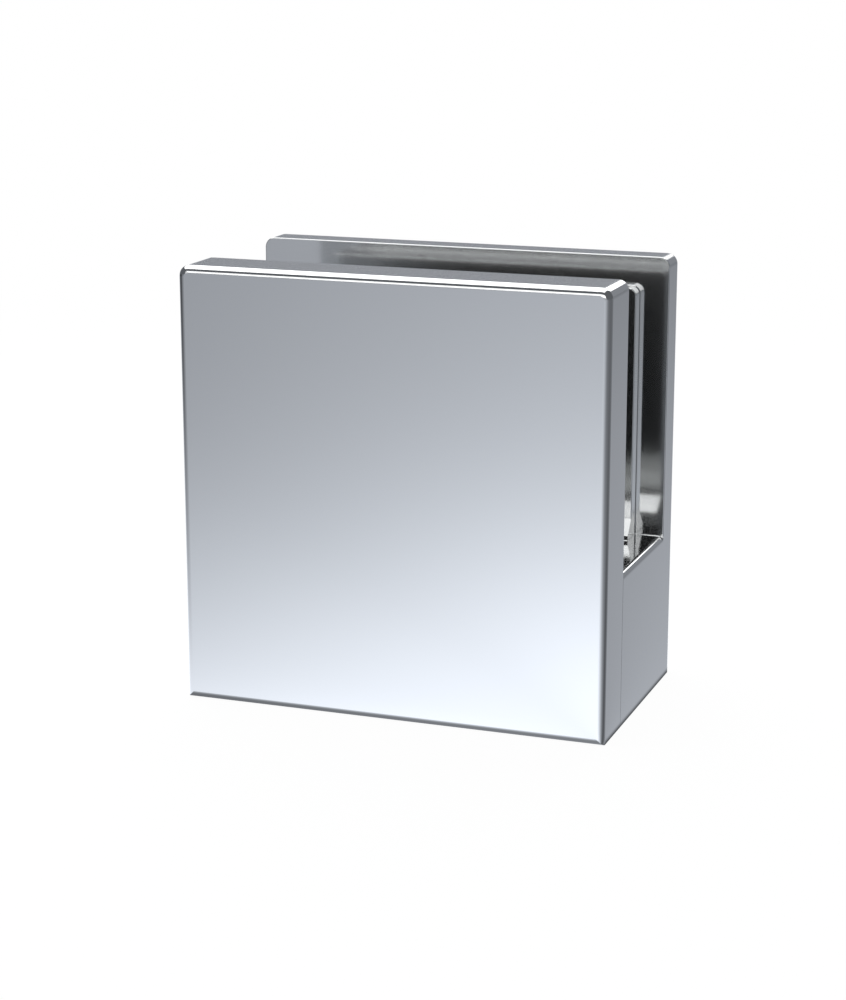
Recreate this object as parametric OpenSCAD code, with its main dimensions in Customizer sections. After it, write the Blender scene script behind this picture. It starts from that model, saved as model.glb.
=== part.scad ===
// Square clamp foot for the lower corner of a glass shower screen.
// The glass stands in an open slot between a rear plate, which is cast in one
// piece with the base block, and a front plate bolted on from behind.
// X runs across the foot, -Y is the front and +Z is up. The origin lies on the
// floor, in the middle of the foot.

/* [Foot] */
// Width across the front face
foot_w = 50; // [42:0.5:70]
// Height from the floor to the upper edge
foot_h = 50.4; // [42:0.2:70]
// Height of the base block, up to the floor of the slot
block_h = 17.7; // [15:0.1:24]

/* [Plates] */
// Thickness of the front plate
front_t = 7; // [6:0.1:10]
// Thickness of the rear plate
rear_t = 4.2; // [3.6:0.1:8]
// Clear distance between the two plates
slot_w = 17.4; // [16.4:0.1:24]
// Radius of the upper corners, seen from the front
corner_r = 1.2; // [0.9:0.1:3]
// Rounding all round the two outer faces
edge_r = 0.8; // [0.3:0.05:0.85]
// Rounding of the edges that look into the slot
break_r = 0.1; // [0.05:0.05:0.3]
// Rounding of the block's shoulders beside the slot
shoulder_r = 0.7; // [0.3:0.05:1.5]

/* [Glass pads] */
// Distance of the pads from the sides and from the upper edge
pad_inset = 3.4; // [2:0.1:6]
// How far the pad stands out of the front plate
front_pad_t = 5.4; // [1.5:0.1:5.8]
// How far the pad stands out of the rear plate
rear_pad_t = 1.9; // [1.5:0.1:2.6]
// Radius of the pads' upper corners
pad_corner_r = 1; // [0.4:0.1:2]
// Gap between the front pad's underside and the block
pad_gap = 0.1; // [0.05:0.05:0.3]
// Fillet in the corners where pads, plates and the slot's floor meet
root_r = 0.1; // [0.05:0.05:0.3]

/* [Glass seats] */
// Height of the front pad's sloping seat above the slot's floor
front_seat_h = 1.8; // [1.2:0.1:4]
// Distance that the front seat reaches out of the pad's face
front_seat_run = 2.2; // [0.8:0.1:2.5]
// Height of the front seat's blunt lower edge
front_lip = 0.1; // [0.05:0.05:0.5]
// Height of the rear pad's sloping seat above the slot's floor
rear_seat_h = 2.3; // [1.5:0.1:4]
// Distance that the rear seat reaches out of the pad's face
rear_seat_run = 1.4; // [0.8:0.1:1.7]
// Height of the upright toe below the rear seat's slope
rear_toe_h = 0.55; // [0.3:0.05:1]

/* [Clamp screws] */
// Distance between the two screws
screw_span = 30; // [22:0.5:34]
// Height of the screws above the floor
screw_z = 9; // [7:0.1:10]
// Radius of the screw's thread
screw_r = 2.5; // [2:0.25:3]
// Radius of the countersunk head
head_r = 5; // [4:0.1:6]
// Depth of the head below the rear face
head_sink = 0.2; // [0.1:0.05:0.5]
// Length of thread held in the front plate
thread_l = 4; // [3:0.1:4.4]
// Room left beyond the screw's tip
tip_gap = 0.6; // [0.3:0.1:1]
// Bevel at the screw's tip
tip_bevel = 0.6; // [0.3:0.1:1]
// Width across the flats of the key socket
key_w = 3; // [2:0.5:4]
// Depth of the key socket
key_depth = 2; // [1.5:0.1:2.4]
// Play round the screw in the block
screw_play = 0.25; // [0.1:0.05:0.5]
// Play round the screw in its tapped hole
thread_play = 0.05; // [0.02:0.01:0.1]
// Play round the screw's head
head_play = 0.1; // [0.05:0.05:0.3]

/* [Floor fixing] */
// Radius of the hole for the floor screw
floor_hole_r = 1.9; // [1.6:0.05:2.4]
// Radius of its countersink at the slot's floor
floor_sink_r = 2.9; // [2.6:0.05:4.5]
// Level floor left between the countersink and the seats
sink_margin = 0.2; // [0.1:0.05:0.5]

/* [Hidden] */
$fn = 64;
depth = front_t + slot_w + rear_t;
y_front = -depth / 2;
y_rear = depth / 2;
y_seam = y_front + front_t;
y_wall = y_rear - rear_t;
pad_w = foot_w - 2 * pad_inset;
pad_top = foot_h - pad_inset;
toe_front = y_seam + front_pad_t + front_seat_run;
toe_rear = y_wall - rear_pad_t - rear_seat_run;
y_fixing = (toe_front + toe_rear) / 2;
head_y = y_rear - head_sink;
tip_y = y_seam - thread_l;
head_h = head_r - screw_r;
key_r = key_w / 2 / cos(30);
sink_r = min(floor_sink_r, (toe_rear - toe_front) / 2 - root_r - sink_margin);
sink_h = sink_r - floor_hole_r;
over = 1;

// Waste outside a quarter round of radius r, for a corner at the origin
module round_waste(r) {
    difference() {
        translate([-r, -over]) square([r + over, r + over]);
        translate([-r, r]) circle(r);
    }
}

// Section of a plate's rim: it ends at x = run, with the outer face on y = 0
module rim(run, t, outer_r, inner_r) {
    difference() {
        square([run, t]);
        translate([run, 0]) round_waste(outer_r);
        translate([run, t]) mirror([0, 1]) round_waste(inner_r);
    }
}

// Section of a fillet in the corner between the two axes
module root() {
    difference() {
        translate([-root_r, -root_r]) square(2 * root_r);
        translate([root_r, root_r]) circle(root_r);
    }
}

// Section of a pad's rim: it ends at x = run and stands on a plate at y = 0
module pad_rim(run, t) {
    difference() {
        translate([0, -root_r]) square([run, t + root_r]);
        translate([run, t]) mirror([0, 1]) round_waste(break_r);
    }
    translate([run, 0]) root();
}

// Section that lies in the Z and Y directions, drawn out along X
module across(w) {
    rotate([0, -90, 0]) linear_extrude(height = w, center = true) children();
}

// Plate with a rolled edge round its outer face on y = 0 and soft upper corners
module plate(t, inner_r) {
    intersection() {
        union() {
            for (side = [-1, 1])
                translate([side * (foot_w / 2 - corner_r), 0, foot_h - corner_r])
                    rotate([-90, 0, 0])
                        rotate_extrude() rim(corner_r, t, edge_r, inner_r);
            across(foot_w - 2 * corner_r) rim(foot_h, t, edge_r, inner_r);
            linear_extrude(height = foot_h - corner_r)
                for (side = [0, 1])
                    mirror([side, 0]) rim(foot_w / 2, t, edge_r, inner_r);
        }
        across(foot_w + over)
            difference() {
                square([foot_h + over, t]);
                mirror([1, 0]) round_waste(edge_r);
            }
    }
}

// Raised pad on the inner face of a plate. At its foot the glass seat slopes down
// from the height z_seat to z_toe and reaches out by run.
module glass_pad(plate_t, pad_t, run, z_foot, z_toe, z_seat) {
    toe_t = pad_t + run;
    translate([0, plate_t, 0]) {
        intersection() {
            pad_slab(pad_t);
            translate([-foot_w / 2, -over, z_foot]) cube([foot_w, toe_t + over, foot_h]);
        }
        across(pad_w)
            polygon([[z_foot, -root_r], [z_foot, toe_t], [z_toe, toe_t],
                     [z_seat, pad_t], [z_seat, -root_r]]);
    }
}

// Pad without its seat, upper corners rounded
module pad_slab(t) {
    for (side = [-1, 1])
        translate([side * (pad_w / 2 - pad_corner_r), 0, pad_top - pad_corner_r])
            rotate([-90, 0, 0])
                rotate_extrude() pad_rim(pad_corner_r, t);
    across(pad_w - 2 * pad_corner_r) pad_rim(pad_top, t);
    linear_extrude(height = pad_top - pad_corner_r)
        for (side = [0, 1])
            mirror([side, 0]) pad_rim(pad_w / 2, t);
}

// Fillets on the slot's floor, along the rear wall and the foot of the rear pad
module floor_roots() {
    intersection() {
        translate([0, y_wall, block_h]) {
            mirror([0, 1, 0]) across(foot_w - 2 * shoulder_r) root();
            for (side = [-1, 1])
                translate([side * (foot_w / 2 - shoulder_r), 0, -shoulder_r]) rotate([90, 0, 0])
                    rotate_extrude() translate([shoulder_r, 0]) root();
        }
        translate([0, y_wall, block_h]) cube([foot_w - 2 * break_r, over, 2 * over], center = true);
    }
    translate([0, toe_rear, block_h]) mirror([0, 1, 0]) across(pad_w) root();
    for (side = [0, 1])
        mirror([side, 0, 0])
            translate([pad_w / 2, y_wall, block_h]) rotate([90, 0, 0])
                linear_extrude(height = y_wall - toe_rear) root();
}

// Base block with rounded shoulders, from the seam into the rear plate
module block() {
    translate([0, y_wall + break_r, 0]) rotate([90, 0, 0])
        linear_extrude(height = slot_w + break_r)
            difference() {
                translate([-foot_w / 2, 0]) square([foot_w, block_h]);
                for (side = [0, 1])
                    mirror([side, 0]) translate([foot_w / 2, block_h])
                        mirror([0, 1]) round_waste(shoulder_r);
            }
}

// Places its child on the axis of each clamp screw, pointing to the front
module at_screws(y) {
    for (side = [-1, 1])
        translate([side * screw_span / 2, y, screw_z]) rotate([90, 0, 0]) children();
}

// Rear plate, block and rear pad, cast in one piece
module base_body() {
    color([0.74, 0.75, 0.78])
        difference() {
            union() {
                intersection() {
                    translate([0, y_rear, 0]) mirror([0, 1, 0]) plate(rear_t, break_r);
                    translate([-foot_w / 2, y_wall, block_h - shoulder_r])
                        cube([foot_w, rear_t, foot_h]);
                }
                intersection() {
                    translate([0, y_rear, 0]) mirror([0, 1, 0]) plate(rear_t + break_r, break_r);
                    translate([-foot_w / 2, y_wall, 0]) cube([foot_w, rear_t, block_h]);
                }
                translate([0, y_rear, 0]) mirror([0, 1, 0])
                    glass_pad(rear_t, rear_pad_t, rear_seat_run,
                              block_h - over, block_h + rear_toe_h, block_h + rear_seat_h);
                block();
                floor_roots();
            }
            at_screws(y_rear + over) cylinder(r = screw_r + screw_play, h = depth + 2 * over);
            at_screws(y_rear) {
                translate([0, 0, -over])
                    cylinder(r = head_r + head_play, h = over + head_sink);
                translate([0, 0, head_sink])
                    cylinder(r1 = head_r + head_play, r2 = screw_r + head_play, h = head_h);
            }
            translate([0, y_fixing, -over])
                cylinder(r = floor_hole_r, h = block_h + 2 * over);
            translate([0, y_fixing, block_h - sink_h])
                cylinder(r1 = floor_hole_r, r2 = sink_r, h = sink_h);
            translate([0, y_fixing, block_h]) cylinder(r = sink_r, h = over);
        }
}

// Plain outer plate with its own pad and two blind tapped holes
module front_plate() {
    color([0.80, 0.81, 0.84])
        difference() {
            translate([0, y_front, 0]) {
                plate(front_t, break_r);
                glass_pad(front_t, front_pad_t, front_seat_run,
                          block_h + pad_gap, block_h + pad_gap + front_lip, block_h + front_seat_h);
            }
            at_screws(y_seam + over)
                cylinder(r = screw_r + thread_play, h = over + thread_l + tip_gap);
        }
}

// Countersunk screws with a hexagon socket, heads towards the rear
module clamp_screws() {
    color([0.62, 0.63, 0.66])
        at_screws(head_y)
            difference() {
                union() {
                    cylinder(r1 = head_r, r2 = screw_r, h = head_h);
                    cylinder(r = screw_r, h = head_y - tip_y - tip_bevel);
                    translate([0, 0, head_y - tip_y - tip_bevel])
                        cylinder(r1 = screw_r, r2 = screw_r - tip_bevel, h = tip_bevel);
                }
                translate([0, 0, -over])
                    cylinder(r = key_r, h = over + key_depth, $fn = 6);
            }
}

base_body();
front_plate();
clamp_screws();
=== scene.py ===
import math

import bpy
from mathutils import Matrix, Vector


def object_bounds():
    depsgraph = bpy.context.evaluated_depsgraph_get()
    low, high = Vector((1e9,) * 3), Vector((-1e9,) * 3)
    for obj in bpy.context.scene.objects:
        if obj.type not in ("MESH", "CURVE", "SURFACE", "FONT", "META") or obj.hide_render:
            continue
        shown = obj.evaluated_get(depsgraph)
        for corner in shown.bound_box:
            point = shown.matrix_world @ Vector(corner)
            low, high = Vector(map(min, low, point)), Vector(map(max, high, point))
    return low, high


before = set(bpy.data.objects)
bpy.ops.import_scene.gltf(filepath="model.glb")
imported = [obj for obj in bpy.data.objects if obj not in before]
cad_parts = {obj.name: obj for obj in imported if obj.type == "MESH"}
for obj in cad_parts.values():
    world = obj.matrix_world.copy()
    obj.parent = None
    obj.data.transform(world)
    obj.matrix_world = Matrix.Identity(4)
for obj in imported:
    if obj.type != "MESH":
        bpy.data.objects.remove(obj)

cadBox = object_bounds()
scene = bpy.context.scene
scene.view_settings.view_transform = "Standard"


# camera

cameraView = {
    "azimuth": 20.07,  # degrees round to the right of straight ahead
    "elevation": 14.04,  # degrees above the floor
    "roll": -0.02,
    "distance": 0.2762,
    "target": (-0.0003, -0.0023, 0.02284),
    "lens": 86.54,
    "sensor": 36.0,
    "nearest": 0.01,
}


def placeCamera(view):
    turn = math.radians(view["azimuth"])
    lift = math.radians(view["elevation"])
    level = math.cos(lift)
    away = Vector((math.sin(turn) * level, -math.cos(turn) * level, math.sin(lift)))
    bpy.ops.object.camera_add(location=Vector(view["target"]) + away * view["distance"])
    eye = bpy.context.object
    eye.name = "photoCamera"
    eye.rotation_euler = (-away).to_track_quat("-Z", "Y").to_euler()
    eye.rotation_euler.rotate_axis("Z", math.radians(view["roll"]))
    eye.data.sensor_width = view["sensor"]
    eye.data.lens = view["lens"]
    eye.data.clip_start = view["nearest"]
    scene.camera = eye


placeCamera(cameraView)
print("camera placed")


# node helpers

def freshMaterial(name):
    finish = bpy.data.materials.new(name)
    finish.use_nodes = True
    finish.node_tree.nodes.clear()
    return finish, finish.node_tree.nodes, finish.node_tree.links


def addMath(nodes, links, operation, first, second=None):
    step = nodes.new("ShaderNodeMath")
    step.operation = operation
    for socket, value in zip(step.inputs, (first, second)):
        if value is None:
            continue
        if isinstance(value, (int, float)):
            socket.default_value = value
        else:
            links.new(value, socket)
    return step.outputs[0]


def addRange(nodes, links, value, start, end, low, high):
    span = nodes.new("ShaderNodeMapRange")
    span.interpolation_type = "SMOOTHSTEP"
    links.new(value, span.inputs["Value"])
    span.inputs["From Min"].default_value = start
    span.inputs["From Max"].default_value = end
    span.inputs["To Min"].default_value = low
    span.inputs["To Max"].default_value = high
    return span.outputs["Result"]


def addRamp(nodes, links, factor, tones):
    ramp = nodes.new("ShaderNodeValToRGB")
    links.new(factor, ramp.inputs["Fac"])
    bar = ramp.color_ramp
    bar.interpolation = "CARDINAL"
    while len(bar.elements) < len(tones):
        bar.elements.new(0.5)
    for step, tone in enumerate(tones):
        bar.elements[step].position = step / (len(tones) - 1)
        bar.elements[step].color = (tone, tone, tone, 1.0)
    return ramp.outputs["Color"]


def addMetal(nodes, tint):
    metal = nodes.new("ShaderNodeBsdfPrincipled")
    metal.inputs["Metallic"].default_value = 1.0
    metal.inputs["Base Color"].default_value = (*tint, 1.0)
    return metal


# chrome and steel

chromePlating = {
    "tint": (0.55, 0.556, 0.556),
    "roughness": (0.095, 0.11),  # clean polish to faint haze
    "hazeScale": 260.0,
    "hazeDetail": 3.0,
    "polishScale": (60.0, 60.0, 2600.0),  # buffing runs round the foot
    "polishDepth": 0.003,
    "polishHeight": 0.00001,
    "slot": {
        "share": 0.08,  # part of the light that the less polished slot scatters
        "roughness": 0.35,
        "from": (-0.0249, -0.0074, 0.0175),
        "to": (0.0249, 0.0102, 0.0503),
    },
}

screwSteel = {
    "tint": (0.5, 0.505, 0.52),
    "roughness": (0.2, 0.3),
    "hazeScale": 420.0,
    "hazeDetail": 3.0,
    "polishScale": (1800.0, 300.0, 1800.0),
    "polishDepth": 0.05,
    "polishHeight": 0.00001,
}


# share of the slot's haze at each place, none outside its box
def addSlotShare(nodes, links, where, slot):
    parts = nodes.new("ShaderNodeSeparateXYZ")
    links.new(where.outputs["Object"], parts.inputs["Vector"])
    share = slot["share"]
    for axis, low, high in zip("XYZ", slot["from"], slot["to"]):
        above = addMath(nodes, links, "GREATER_THAN", parts.outputs[axis], low)
        below = addMath(nodes, links, "LESS_THAN", parts.outputs[axis], high)
        share = addMath(nodes, links, "MULTIPLY", addMath(nodes, links, "MULTIPLY", above, below), share)
    return share


def metalFinish(name, look):
    finish, nodes, links = freshMaterial(name)
    out = nodes.new("ShaderNodeOutputMaterial")
    metal = addMetal(nodes, look["tint"])
    where = nodes.new("ShaderNodeTexCoord")
    surface = metal.outputs["BSDF"]
    if "slot" in look:
        hazy = addMetal(nodes, look["tint"])
        hazy.inputs["Roughness"].default_value = look["slot"]["roughness"]
        blend = nodes.new("ShaderNodeMixShader")
        links.new(addSlotShare(nodes, links, where, look["slot"]), blend.inputs["Fac"])
        links.new(metal.outputs["BSDF"], blend.inputs[1])
        links.new(hazy.outputs["BSDF"], blend.inputs[2])
        surface = blend.outputs["Shader"]
    links.new(surface, out.inputs["Surface"])
    haze = nodes.new("ShaderNodeTexNoise")
    haze.inputs["Scale"].default_value = look["hazeScale"]
    haze.inputs["Detail"].default_value = look["hazeDetail"]
    links.new(where.outputs["Object"], haze.inputs["Vector"])
    spread = nodes.new("ShaderNodeMapRange")
    spread.inputs["To Min"].default_value = look["roughness"][0]
    spread.inputs["To Max"].default_value = look["roughness"][1]
    links.new(haze.outputs["Fac"], spread.inputs["Value"])
    links.new(spread.outputs["Result"], metal.inputs["Roughness"])
    stretch = nodes.new("ShaderNodeMapping")
    stretch.inputs["Scale"].default_value = look["polishScale"]
    links.new(where.outputs["Object"], stretch.inputs["Vector"])
    polish = nodes.new("ShaderNodeTexNoise")
    polish.inputs["Scale"].default_value = 1.0
    links.new(stretch.outputs["Vector"], polish.inputs["Vector"])
    bump = nodes.new("ShaderNodeBump")
    bump.inputs["Strength"].default_value = look["polishDepth"]
    bump.inputs["Distance"].default_value = look["polishHeight"]
    links.new(polish.outputs["Fac"], bump.inputs["Height"])
    links.new(bump.outputs["Normal"], metal.inputs["Normal"])
    return finish


finishes = {
    "base_body": metalFinish("bodyChrome", chromePlating),
    "front_plate": metalFinish("plateChrome", chromePlating),
    "clamp_screws": metalFinish("screwSteel", screwSteel),
}
for node, finish in finishes.items():
    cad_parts[node].material_slots[0].material = finish
print("metal finishes set on", len(finishes), "nodes")


# floor

floorLook = {
    "size": 12.0,
    "colour": (0.94, 0.94, 0.94),
    "whiteShare": (0.965, 1.0),  # beside the foot, where the rest keeps its shadow, and far off
    "whiteReach": (0.05, 0.3),
}


def layFloor(look):
    bpy.ops.object.select_all(action="DESELECT")
    bpy.ops.mesh.primitive_plane_add(size=look["size"], location=(0.0, 0.0, 0.0))
    floor = bpy.context.object
    floor.name = "studioFloor"
    finish, nodes, links = freshMaterial("floorPaper")
    out = nodes.new("ShaderNodeOutputMaterial")
    paper = nodes.new("ShaderNodeBsdfDiffuse")
    paper.inputs["Color"].default_value = (*look["colour"], 1.0)
    glow = nodes.new("ShaderNodeEmission")
    glow.inputs["Strength"].default_value = 1.0
    rays = nodes.new("ShaderNodeLightPath")
    seen = rays.outputs["Is Camera Ray"]
    for kind in ("Is Glossy Ray", "Is Transmission Ray"):
        seen = addMath(nodes, links, "MAXIMUM", seen, rays.outputs[kind])
    where = nodes.new("ShaderNodeTexCoord")
    away = nodes.new("ShaderNodeVectorMath")
    away.operation = "LENGTH"
    links.new(where.outputs["Object"], away.inputs[0])
    white = addRange(nodes, links, away.outputs["Value"], *look["whiteReach"], *look["whiteShare"])
    blend = nodes.new("ShaderNodeMixShader")
    links.new(addMath(nodes, links, "MULTIPLY", seen, white), blend.inputs["Fac"])
    links.new(paper.outputs["BSDF"], blend.inputs[1])
    links.new(glow.outputs["Emission"], blend.inputs[2])
    links.new(blend.outputs["Shader"], out.inputs["Surface"])
    floor.data.materials.append(finish)


layFloor(floorLook)


# card round the foot, glowing with a painted reflection: the tones that a chrome surface picks up from a
# studio

paintedReflectionLook = {
    "radius": 6.0,
    "corners": 96,
    "lift": 0.00003,  # just clear of the floor
    "strength": 2.72,
    "tint": (0.955, 1.0, 1.09),
    "paintedContactShadow": (0.18, 0.0022),  # darkest tone of the painted contact shadow at the foot's front edge, and where it ends
    "sidePinch": 4.0,  # times that this painted shadow is narrower beside the foot
    # eighths of a turn: painted reflection tone beside the foot, tone far off, and metres over which one
    # fades into the other
    "round": (
        (1.0, 0.2, 0.06),  # behind
        (0.95, 0.2, 0.09),
        (0.73, 0.0, 0.085),  # left
        (0.65, 0.135, 0.085),
        (0.66, 0.27, 0.09),  # front
        (0.3, 0.12, 0.06),
        (0.08, 0.08, 0.11),  # right
        (0.1, 0.1, 0.18),
        (0.22, 0.1, 0.32),  # behind again, along the right side
    ),
    "falloff": 2.0,
}


# painted contact shadow: darker close to the foot's edges
def addPaintedContactShadow(nodes, links, parts, centre, look):
    beside = addMath(nodes, links, "ADD", parts.outputs["X"], centre[0])
    beside = addMath(nodes, links, "SUBTRACT", addMath(nodes, links, "ABSOLUTE", beside), cadBox[1][0])
    beside = addMath(nodes, links, "MULTIPLY", beside, look["sidePinch"])
    before = addMath(nodes, links, "ADD", parts.outputs["Y"], centre[1])
    before = addMath(nodes, links, "SUBTRACT", addMath(nodes, links, "ABSOLUTE", before), cadBox[1][1])
    off = addMath(nodes, links, "MAXIMUM", beside, before)
    return addRange(nodes, links, off, 0.0, look["paintedContactShadow"][1], look["paintedContactShadow"][0], 1.0)


def layPaintedReflectionCard(look):
    centre = (cadBox[1][0], cadBox[0][1], look["lift"])  # below the right front edge
    bpy.ops.object.select_all(action="DESELECT")
    bpy.ops.mesh.primitive_circle_add(
        vertices=look["corners"], radius=look["radius"], fill_type="NGON", location=centre
    )
    card = bpy.context.object
    card.name = "paintedReflectionCard"
    finish, nodes, links = freshMaterial("paintedReflectionTone")
    out = nodes.new("ShaderNodeOutputMaterial")
    glow = nodes.new("ShaderNodeEmission")
    where = nodes.new("ShaderNodeTexCoord")
    parts = nodes.new("ShaderNodeSeparateXYZ")
    links.new(where.outputs["Object"], parts.inputs["Vector"])
    # painted reflection tone, set by the direction round the foot and the distance from it
    ahead = addMath(nodes, links, "MULTIPLY", parts.outputs["Y"], -1.0)
    turn = addMath(nodes, links, "ARCTAN2", parts.outputs["X"], ahead)
    turn = addMath(nodes, links, "ADD", addMath(nodes, links, "DIVIDE", turn, 2 * math.pi), 0.5)
    near, far, reach = (addRamp(nodes, links, turn, values) for values in zip(*look["round"]))
    size = nodes.new("ShaderNodeVectorMath")
    size.operation = "LENGTH"
    links.new(where.outputs["Object"], size.inputs[0])
    run = addMath(nodes, links, "DIVIDE", size.outputs["Value"], reach)
    run = addMath(nodes, links, "POWER", run, look["falloff"])
    fade = addMath(nodes, links, "DIVIDE", 1.0, addMath(nodes, links, "ADD", run, 1.0))
    rise = addMath(nodes, links, "MULTIPLY", addMath(nodes, links, "SUBTRACT", near, far), fade)
    tone = addMath(nodes, links, "ADD", far, rise)
    # the painted contact shadow darkens the painted reflection near the foot
    tone = addMath(nodes, links, "MULTIPLY", tone, addPaintedContactShadow(nodes, links, parts, centre, look))
    tone = addMath(nodes, links, "MULTIPLY", tone, look["strength"])
    links.new(tone, glow.inputs["Strength"])
    glow.inputs["Color"].default_value = (*look["tint"], 1.0)
    links.new(glow.outputs["Emission"], out.inputs["Surface"])
    card.data.materials.append(finish)
    # the card is seen by glossy rays only, so the chrome shows its painted reflection
    card.visible_camera = False
    card.visible_diffuse = False
    card.visible_transmission = False
    card.visible_shadow = False


layPaintedReflectionCard(paintedReflectionLook)
print("floor and card laid")


# lights

softboxes = {
    "skyBox": {
        "centre": (-0.17, 0.2675, 0.407),
        "size": (0.66, 1.125),
        "facing": (0.0, -0.229, -0.973),
        "radiance": 2.6,
    },
    "frontStrip": {
        "centre": (-0.15, -1.0, 0.285),
        "size": (1.0, 0.4),
        "facing": (0.0, 1.0, 0.0),
        "radiance": 1.92,
    },
}


def hangSoftbox(name, box):
    bpy.ops.object.light_add(type="AREA", location=box["centre"])
    lamp = bpy.context.object
    lamp.name = name
    lamp.data.shape = "RECTANGLE"
    lamp.data.size, lamp.data.size_y = box["size"]
    lamp.rotation_euler = Vector(box["facing"]).to_track_quat("-Z", "Y").to_euler()
    lamp.data.energy = box["radiance"] * math.pi * lamp.data.size * lamp.data.size_y
    lamp.visible_camera = False


for name, box in softboxes.items():
    hangSoftbox(name, box)

roomLight = {
    "tint": (0.955, 1.0, 1.09),
    "level": (0.18, 0.355),  # most of the room, and the wall behind the foot
    "wall": (0.0, 1.0, 0.0),
    "edge": (0.75, 0.92),
}


def lightRoom(look):
    world = bpy.data.worlds.new("studioRoom")
    world.use_nodes = True
    scene.world = world
    nodes, links = world.node_tree.nodes, world.node_tree.links
    room = nodes["Background"]
    room.inputs["Color"].default_value = (*look["tint"], 1.0)
    where = nodes.new("ShaderNodeTexCoord")
    behind = nodes.new("ShaderNodeVectorMath")
    behind.operation = "DOT_PRODUCT"
    behind.inputs[1].default_value = look["wall"]
    links.new(where.outputs["Generated"], behind.inputs[0])
    level = addRange(nodes, links, behind.outputs["Value"], *look["edge"], *look["level"])
    links.new(level, room.inputs["Strength"])


lightRoom(roomLight)
print("lights hung")
